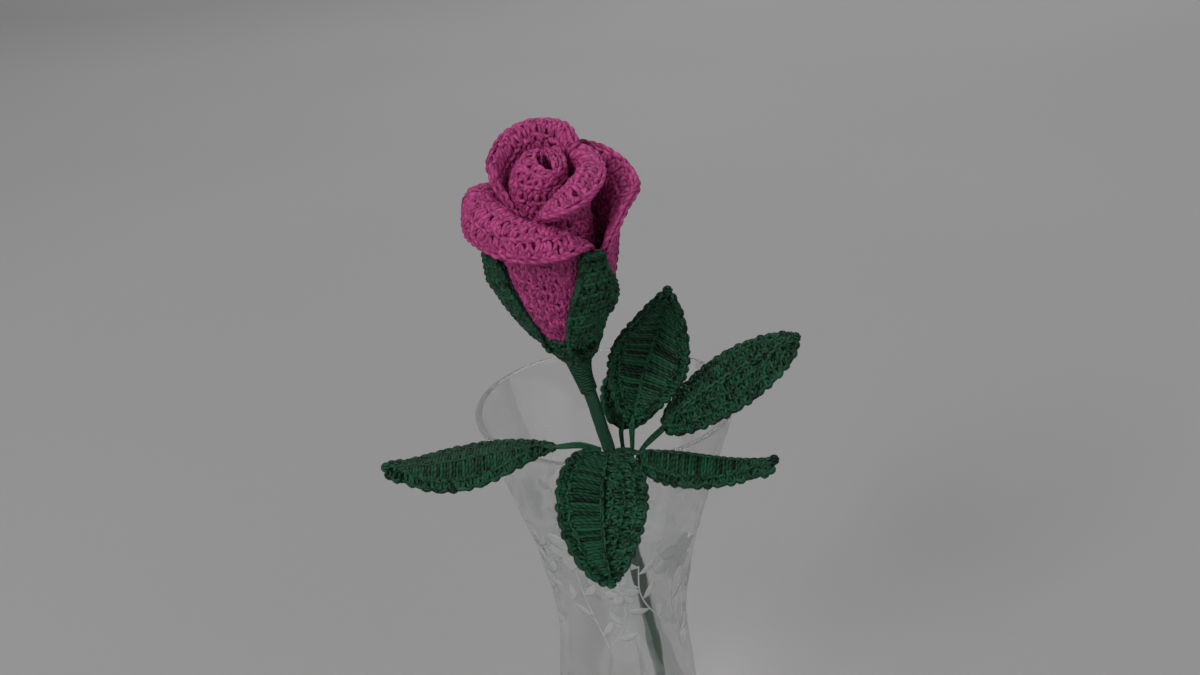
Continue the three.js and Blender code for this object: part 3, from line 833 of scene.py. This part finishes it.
# ---- calyx: neck, cup and sepals
# each sepal: angle (degrees), radius and height up the blade, edges (share of length, left, right),
# how the radius slants across the blade, and how its top leans
HUGGING = [(9.6, 6), (13.0, 15.5), (18.0, 28), (21.2, 37), (22.6, 44)]
EVEN_EDGES = [(0, -4.5, 4.5), (0.35, -6.4, 6.4), (0.6, -6.6, 6.6), (0.84, -4.2, 4.2), (1, -3.2, 3.2)]
SEPALS = [
    (28, [(9.5, 6), (14.8, 16), (19.2, 28), (22.2, 40), (23.5, 51.2)],
     [(0, -6, 3), (0.25, -8.4, 1.8), (0.36, -8.8, 2.4), (0.46, -8.6, 8.4), (0.53, -8.1, 9.8),
      (0.66, -6.6, 9), (0.76, -5.2, 7), (0.86, -4.1, 5.3), (1, -3.2, 4.2)], 0, 0.3),
    (-80, [(9.8, 6), (14.9, 15), (19.4, 27), (21.8, 36), (21.9, 46)],
     [(0, -4.5, 4.5), (0.35, -5.2, 6.2), (0.6, -5.4, 6.6), (0.84, -4.6, 5.4), (1, -3.4, 3.4)],
     -0.45, 0),
    (132, HUGGING, EVEN_EDGES, 0, 0),
    (-156, HUGGING, EVEN_EDGES, 0, 0),
]
CUP = [(3.6, -2.4), (5.0, -1), (6.4, 1), (7.8, 3.4), (8.9, 6), (9.9, 9.2), (10.8, 12.4)]
CALYX_ROW = 2.2


def sepal_surface(angle, profile, edges, slant, lean):
    u = np.linspace(0, 1, 160)
    at = u * (len(profile) - 1)
    index = np.arange(len(profile), dtype=float)
    r = smooth_steps(index, column(profile, 0), at)[:, None]
    z = smooth_steps(index, column(profile, 1), at)[:, None]
    left = from_table(edges, 1, u)[:, None]
    right = from_table(edges, 2, u)[:, None]
    x = left + (right - left) * np.linspace(0, 1, 60)[None, :]
    turn = math.radians(angle) + x / np.maximum(r, 6)
    r = r + slant * x * np.minimum(1, 3.3 * u)[:, None]
    return Surface(on_head(r, turn, z - lean * x * (u * u)[:, None]))


def cup_surface():
    profile = np.array(CUP)
    run = lengths_along(profile)
    q = np.linspace(0, run[-1], 60)
    r = smooth_steps(run, profile[:, 0], q)[None, :]
    z = smooth_steps(run, profile[:, 1], q)[None, :]
    a = np.linspace(0, TURN, 160)[:, None]
    return Surface(on_head(r - 0.5, a, z))


def calyx_piece():
    piece = Piece(30, FEWER_POINTS)
    cup = cup_surface()
    piece.slab(cup, thickness=0.9, every=(3, 3))
    knit_sheet(piece, cup, level=0.25, faces=[(1, 0.0)], row=CALYX_ROW)
    outline(piece, cup, rim_only=True, link=2.6)
    for sepal in SEPALS:
        # the rows of a sepal run across it, from its tip down
        surface = sepal_surface(*sepal).turned()
        piece.slab(surface, thickness=0.6, every=(2, 2))
        knit_sheet(piece, surface, 0.28, [(-1, 0.0), (1, 0.15)], row=CALYX_ROW, pitch=2.3)
        outline(piece, surface, link=2.7)
    neck = share_of(STEM_PATH, NECK_FROM, WRAP_SHARE, 120)
    coil(piece, neck, lambda t: 2.7 + 3.0 * t ** 2.2, WOUND_PITCH, yarn=0.55)
    piece.make("calyx", GREEN, ["calyx"])


calyx_piece()

# ---- leaves: a blade folded along its midrib on a yarn-covered stalk
# width is half the blade's; fold and curl are degrees for its two halves; shape is the outline's skew
# (below 1, widest nearer the stalk), its power (the smaller, the fuller) and how blunt its tip is;
# posts says which halves have tall posts beside the midrib
LEAVES = {
    "leaf_left": dict(
        stalk=[(-3.3, -46.8, 203.1), (-10, -48.3, 206.6)],
        midrib=[(-19, -50, 207.7), (-35, -50, 210.5), (-61.5, -50, 201), (-80.5, -50, 205)],
        up=(0, -0.12, 0.99), width=13.2, fold=(-14, -2), curl=(0, -14), shape=(1.2, 1.0, 0.38),
        posts=(True, True)),
    "leaf_right": dict(
        stalk=[(3.3, -47.4, 202.8), (6.4, -51.2, 205.0)],
        midrib=[(10, -55.4, 205.5), (25, -57.4, 206.6), (42, -60, 199.7), (57.5, -62, 201.9)],
        up=(0, -0.2, 0.98), width=13.6, fold=(-12, -42), curl=(0, -22), shape=(0.66, 0.72, 0.42),
        posts=(True, True)),
    "leaf_front": dict(
        stalk=[(-0.1, -51.0, 202.6), (-0.5, -52.0, 204.0)],
        midrib=[(-1, -53.2, 205.1), (-2.5, -64, 205.2), (-7, -78, 189), (-3, -84, 171)],
        up=(-0.05, -0.62, 0.78), width=16.2, fold=(12, 6), curl=(12, 6), shape=(0.92, 0.66, 0),
        posts=(False, True)),
    "leaf_up": dict(
        stalk=[(5.5, -43.5, 187), (8.2, -45.0, 200)],
        midrib=[(9, -45.0, 212), (13.5, -36, 228), (21.5, -34, 241), (24.5, -46, 262.5)],
        up=(-0.05, -1, 0.25), width=15.8, fold=(18, 18), curl=(14, 14), shape=(0.98, 0.72, 0),
        posts=(True, True)),
    "leaf_back": dict(
        stalk=[(5.7, -40.1, 187), (5.2, -41.2, 198)],
        midrib=[(5, -40.2, 207.4), (9, -30, 212), (19, -15, 219.5), (29, -4, 221)],
        up=(0.1, -0.4, 0.9), width=14.2, fold=(26, 26), curl=(10, 10), shape=(0.72, 0.60, 0),
        posts=(True, True)),
    "leaf_ru": dict(
        stalk=[(8.6, -41.4, 187), (11.2, -43.2, 199)],
        midrib=[(20, -45, 209), (34, -46, 223.5), (55.5, -47, 234.5), (68.5, -46, 241)],
        up=(-0.50, -0.36, 0.79), width=13.6, fold=(-4, -4), curl=(-4, -6), shape=(0.92, 0.62, 0),
        posts=(False, False)),
}
LEAF_ALONG = np.linspace(0.004, 0.996, 300)
LEAF_STEPS = 26
SCALLOP = 0.45
LEAF_LEAST = 1.3
LEAF_ROW = 2.25
LEAF_STITCH = 2.2
LEAF_YARN = 0.58
LEAF_EDGE = 0.5
LEAF_LEVEL = 0.26
POST_PITCH = 3.4
POST_YARN = 0.64
KNOT_RADIUS = 1.45
KNOT_TURNS = 4.5


def bezier(points, t):
    p = np.asarray(points, float)
    t = t[:, None]
    place = ((1 - t) ** 3 * p[0] + 3 * t * (1 - t) ** 2 * p[1] + 3 * t * t * (1 - t) * p[2]
             + t ** 3 * p[3])
    way = (3 * (1 - t) ** 2 * (p[1] - p[0]) + 6 * t * (1 - t) * (p[2] - p[1])
           + 3 * t * t * (p[3] - p[2]))
    return place, unit(way)


def leaf_half(leaf, u):
    """The blade's half width at u along the midrib."""
    skew, full, blunt = leaf["shape"]
    tip = np.where(u > 0.6, blunt * np.sqrt(1 - np.maximum(0, (u - 0.9) / 0.1) ** 3), 0)
    swell = np.maximum(np.maximum(np.sin(np.pi * u ** skew), 0) ** full, tip)
    return LEAF_LEAST + (leaf["width"] - LEAF_LEAST) * swell


def leaf_surface(leaf):
    u = LEAF_ALONG
    t = np.linspace(-1, 1, 121)[None, :]
    place, forward = bezier(leaf["midrib"], u)
    side = unit(np.cross(forward, leaf["up"]))
    upward = np.cross(side, forward)
    scallops = SCALLOP * np.cos(np.pi * LEAF_STEPS * u)[:, None] * t * t
    half = leaf_half(leaf, u)[:, None] + scallops
    fold = np.where(t > 0, leaf["fold"][0], leaf["fold"][1])
    curl = np.where(t > 0, leaf["curl"][0], leaf["curl"][1])
    angle = np.radians(fold + curl * np.abs(t))
    x = (half * t * np.cos(angle))[..., None]
    y = (half * np.abs(t) * np.sin(angle))[..., None]
    return Surface(place[:, None] + side[:, None] * x + upward[:, None] * y)


def leaf_half_rows(piece, surface, leaf, hand, side, posts):
    """One half of one face: short rows by the edge, and posts or more short rows to the midrib."""
    half = leaf_half(leaf, LEAF_ALONG)
    share = np.linspace(0, 1, len(half))

    def at_depth(u, depth):
        """v at a depth (mm) in from the edge"""
        return 0.5 + 0.5 * hand * np.maximum(1 - depth / np.interp(u, share, half), 0.0)

    def line_of(top):
        return lambda u, b: at_depth(u, top + LEAF_ROW * (1 - b))

    def deep_enough(depth):
        return lambda u, v: np.interp(u, share, half) > depth + 0.6

    count = 2 if posts else int(half.max() / LEAF_ROW)
    for k in range(count):
        top = LEAF_EDGE + LEAF_ROW * k
        kind = V_ROW if (k + (side > 0)) % 2 == 0 else BUMP_ROW
        row_of_stitches(piece, surface, line_of(top), kind, side, LEAF_LEVEL, LEAF_STITCH,
                        span=(0.02, 0.985), keep=deep_enough(top + LEAF_ROW), yarn=LEAF_YARN)
    if posts:
        depth = LEAF_ROW * count
        rib = 0.5 + hand * 0.01

        def post_line(u, b):
            return rib + (at_depth(u, depth) - 0.5 - hand * 0.01) * b

        row_of_stitches(piece, surface, post_line, POSTS, side, LEAF_LEVEL, POST_PITCH,
                        span=(0.03, 0.97), keep=deep_enough(depth + 0.8), yarn=POST_YARN,
                        uneven=0.02)


def leaf_piece(name, seed, leaf):
    piece = Piece(seed)
    surface = leaf_surface(leaf)
    piece.slab(surface, thickness=0.5, every=(3, 4))
    for side in (1, -1):
        for hand, posts in zip((-1, 1), leaf["posts"]):
            leaf_half_rows(piece, surface, leaf, hand, side, posts)
        t = np.linspace(0.01, 0.99, 120)
        line, normals = surface.look(t, np.full_like(t, 0.5))
        across = unit(np.cross(np.gradient(line, axis=0), normals))
        lift, yarn, spread = (0.45, 0.45, 0.5) if any(leaf["posts"]) else (0.3, 0.62, 0.9)
        chain(piece, line + normals * side * lift, across, normals * side, 2.6, yarn, spread)
    t = np.linspace(0.0, 1.0, EDGE_SAMPLES)
    for v in (0.0, 1.0):
        line, normals, out = edge_line(surface, t, np.full_like(t, v), inset=0.2)
        chain(piece, line, normals, out, link=3.3, yarn=0.55, spread=0.5)
    start, onward, tip = bezier(leaf["midrib"], np.array([0.0, 0.1, 1.0]))[0]
    stalk = curve_through([*leaf["stalk"], start, onward], 200)
    for phase in (0.0, math.pi):
        coil(piece, stalk, lambda s: np.full_like(s, 0.5), pitch=60, yarn=0.72, phase=phase)
    # a small knot of yarn at the tip
    ball = np.linspace(0, 1, 90)
    polar = math.pi * ball
    spin = TURN * KNOT_TURNS * ball
    r = KNOT_RADIUS * np.sin(polar)
    knot = np.stack([r * np.cos(spin), r * np.sin(spin), KNOT_RADIUS * np.cos(polar)], 1)
    piece.strands((tip + knot)[None], unit(knot)[None], 0.5, WOUND_SIDES, plump=False)
    piece.make(name, GREEN, [name])


for number, (leaf_name, leaf_data) in enumerate(LEAVES.items()):
    leaf_piece(leaf_name, 40 + number, leaf_data)

# ---- vase: height and outer radius, height and thickness of the wall, and the glass floor inside
VASE_OUTER = [
    (0, 37.0), (2, 38.0), (8, 37.4), (24, 34.5), (48, 31.3), (72, 29.4), (98, 27.5), (112, 28.4),
    (126, 30.8), (142, 34.5), (158, 39.2), (174, 44.0), (188, 48.5), (200, 52.0)]
VASE_WALL = [(0, 4.2), (48, 4.0), (98, 3.6), (150, 3.0), (200, 2.4)]
VASE_RIM = [(51.75, 199.9), (51.2, 200), (50.4, 200), (49.9, 199.9)]
VASE_FLOOR = [(29.0, 15.2), (26, 14.2), (20, 14), (0, 14)]
VASE_SIDES = 144


def vase_radius(z):
    return from_table(VASE_OUTER, 1, z)


def vase_piece():
    rise = np.concatenate([[0, 0.6], np.linspace(2, 198.6, 110), [199.5]])
    fall = np.concatenate([[199.5], np.linspace(198.6, 18, 100)])
    inside = vase_radius(fall) - from_table(VASE_WALL, 1, fall)
    profile = np.array([
        (0, 0), (20, 0), *zip(vase_radius(rise), rise), *VASE_RIM, *zip(inside, fall), *VASE_FLOOR])
    a = TURN * np.arange(VASE_SIDES) / VASE_SIDES
    r, z = profile[:, None, 0], profile[:, None, 1]
    verts = np.stack([r * np.cos(a), r * np.sin(a), z + 0 * a], -1)
    index = np.arange(verts[..., 0].size).reshape(verts.shape[:2])
    nxt = np.roll(index, -1, axis=1)
    quads = np.stack([nxt[:-1], nxt[1:], index[1:], index[:-1]], -1)
    piece = Piece(50)
    piece.add(verts, quads, np.zeros((quads.size, 2)), 0)
    vase = piece.make("vase", [glass_material()], ["vase"])
    vase.visible_shadow = False


vase_piece()

# ---- engraving: open frosted flowers on upright leafy sprays, on the vase's outer wall
MOTIFS = 5
MOTIF_TURN = math.radians(-30)
MOTIF_FOOT = (100, 90)
PETAL_COUNT = 6
FROST_THICK = 0.08
FROST_STEP = 0.09
# round the wall and up from the spray's foot (mm): each flower's centre, size and turn, and each
# stem's points and the shares of its length where its leaves stand
FLOWERS = [((0, 52), 1.0, 0.2), ((17, 30), 0.62, 0.5)]
STEMS = [
    ([(8, 0), (4, 14), (1, 28), (0, 41)], (0.2, 0.45, 0.7)),
    ([(8, 0), (13, 8), (16, 16), (17, 23)], (0.3, 0.6)),
    ([(4, 14), (-8, 26), (-15, 38), (-18, 54)], (0.3, 0.45, 0.6, 0.75, 0.9, 0.99)),
]
STEM_POINTS = 60


def on_wall(angle, flat, lift):
    """Points on the wall; flat holds millimetres round the wall from the angle, and heights."""
    r = vase_radius(flat[..., 1])
    a = angle + flat[..., 0] / r
    return np.stack([(r + lift) * np.sin(a), -(r + lift) * np.cos(a), flat[..., 1]], axis=-1)


def frosted_shape(piece, angle, line, half, lift=0.0):
    """A thin domed shape about a centre line on the wall."""
    way = unit(np.gradient(line, axis=0))
    side = np.stack([-way[:, 1], way[:, 0]], axis=1)
    v = np.linspace(-1, 1, 7)[None, :, None]
    flat = line[:, None] + side[:, None] * half[:, None, None] * v
    dome = np.minimum(half[:, None], 1.5) * 0.12 * (1 - v[..., 0] ** 2)
    piece.slab(Surface(on_wall(angle, flat, FROST_THICK + lift + dome)), FROST_THICK, slot=0)


def frosted_blade(piece, angle, start, end, width, lift=0.0, bend=0.0, full=0.5):
    """A petal or leaf from start to end; bend bows it to a side, as a share of its length."""
    t = np.linspace(0.01, 0.99, 22)[:, None]
    way = end - start
    side = np.array([-way[1], way[0]])
    line = start + way * t + side * bend * 4 * t * (1 - t)
    half = 0.06 + width / 2 * np.sin(np.pi * t[:, 0]) ** full
    frosted_shape(piece, angle, line, half, lift)


def frosted_flower(piece, angle, centre, size, turn):
    """An open flower: round petals about a small disc."""
    for k in range(PETAL_COUNT):
        a = turn + TURN * k / PETAL_COUNT
        way = np.array([math.sin(a), math.cos(a)])
        start, end = centre + 1.4 * size * way, centre + 11 * size * way
        frosted_blade(piece, angle, start, end, 7.2 * size, FROST_STEP * (1 + k % 2))
    half_disc = np.array([1.9 * size, 0])
    start, end = centre - half_disc, centre + half_disc
    frosted_blade(piece, angle, start, end, 3.8 * size, 3 * FROST_STEP)


def frosted_stem(piece, angle, points, leaves):
    """A thin stem with leaves at shares of its length, by turns on either side."""
    line = curve_through([(x, z, 0) for x, z in points], STEM_POINTS)[:, :2]
    frosted_shape(piece, angle, line, np.full(STEM_POINTS, 0.3))
    way = unit(np.gradient(line, axis=0))
    for k, share in enumerate(leaves):
        index = int(share * (STEM_POINTS - 1))
        hand = 1 if k % 2 else -1
        out = np.array([-way[index, 1], way[index, 0]]) * hand
        tip = line[index] + 6.0 * way[index] + 6.5 * out
        frosted_blade(piece, angle, line[index], tip, 3.2, bend=0.12 * hand, full=0.9)


def engraving_piece():
    piece = Piece(60)
    for k in range(MOTIFS):
        angle = MOTIF_TURN + TURN * k / MOTIFS
        foot = np.array([0, MOTIF_FOOT[k % 2]], float)
        for centre, size, turn in FLOWERS:
            frosted_flower(piece, angle, foot + centre, size, turn)
        for points, leaves in STEMS:
            frosted_stem(piece, angle, foot + points, leaves)
    piece.make("vase_engraving", [frosted_material()], ())


engraving_piece()

# ---- stage: a floor that curves up into a backdrop behind the vase
FLOOR_FRONT = -5.0
FLOOR_BACK = 3.0
FLOOR_HALF = 6
BEND = 1.5
WALL_TOP = 5.0
# ---- camera: it looks down by the pitch and leans by the roll
CAMERA_PLACE = (0, -0.44722, 0.41909)
CAMERA_PITCH = math.radians(23.2)
CAMERA_ROLL = math.radians(4.7)
CAMERA_LENS = 37.5
SENSOR = 36.0
# ---- light: what the lamps look at, and the room's pale light
TARGET = (0, -0.05, 0.24)
ROOM_COLOUR = (0.95, 0.97, 1.0, 1)
ROOM_STRENGTH = 0.44


def floor():
    line = [(FLOOR_FRONT, 0.0), (FLOOR_BACK, 0.0)]
    for a in np.linspace(0, math.pi / 2, 24)[1:]:
        line.append((FLOOR_BACK + BEND * math.sin(a), BEND - BEND * math.cos(a)))
    line.append((FLOOR_BACK + BEND, WALL_TOP))
    verts = [(x, y, z) for y, z in line for x in (-FLOOR_HALF, FLOOR_HALF)]
    faces = [(2 * k - 2, 2 * k - 1, 2 * k + 1, 2 * k) for k in range(1, len(line))]
    mesh = bpy.data.meshes.new("floor")
    mesh.from_pydata(verts, [], faces)
    for polygon in mesh.polygons:
        polygon.use_smooth = True
    mesh.materials.append(stage_material())
    obj = add_object("floor", mesh)


def matrix_of(right, up, back, place):
    return Matrix([[right[k], up[k], back[k], place[k]] for k in range(3)] + [[0, 0, 0, 1]])


def area_light(name, place, target, size, power):
    light = bpy.data.lights.new(name, "AREA")
    light.shape = "DISK"
    light.size = size
    light.energy = power
    back = unit(np.array(place, float) - np.array(target, float))
    side = unit(np.cross([0, 0, 1], back))
    add_object(name, light).matrix_world = matrix_of(side, np.cross(back, side), back, place)


def world():
    made = bpy.data.worlds.new("studio")
    made.use_nodes = True
    made.node_tree.nodes["Background"].inputs[0].default_value = ROOM_COLOUR
    made.node_tree.nodes["Background"].inputs[1].default_value = ROOM_STRENGTH
    bpy.context.scene.world = made
    made.cycles_visibility.glossy = False


def camera():
    right = np.array([1.0, 0, 0])
    up = np.array([0, math.sin(CAMERA_PITCH), math.cos(CAMERA_PITCH)])
    back = -np.array([0, math.cos(CAMERA_PITCH), -math.sin(CAMERA_PITCH)])
    leaning_right = right * math.cos(CAMERA_ROLL) - up * math.sin(CAMERA_ROLL)
    leaning_up = right * math.sin(CAMERA_ROLL) + up * math.cos(CAMERA_ROLL)
    made = bpy.data.cameras.new("camera")
    made.sensor_width = SENSOR
    made.lens = CAMERA_LENS
    made.clip_start = 0.01
    made.clip_end = 50
    obj = add_object("camera", made)
    obj.matrix_world = matrix_of(leaning_right, leaning_up, back, CAMERA_PLACE)
    bpy.context.scene.camera = obj


floor()
world()
camera()
area_light("key", (-1.6, -2.1, 2.0), TARGET, size=1.1, power=35.5)
area_light("top", (0.3, 0.2, 3.3), TARGET, size=1.8, power=5)
area_light("fill", (1.9, -2.0, 1.4), TARGET, size=1.5, power=8)
area_light("backdrop", (0.6, 2.4, 2.6), (0.6, 2.41, 0), size=1.5, power=25)
bpy.context.scene.view_settings.view_transform = "Standard"

# ---- the steel wires inside the stem and the stalks keep their own solids
steel = wire_material()
for node_name, node_object in frame["nodes"].items():
    if node_name.endswith("_wire"):
        node_object.material_slots[0].material = steel
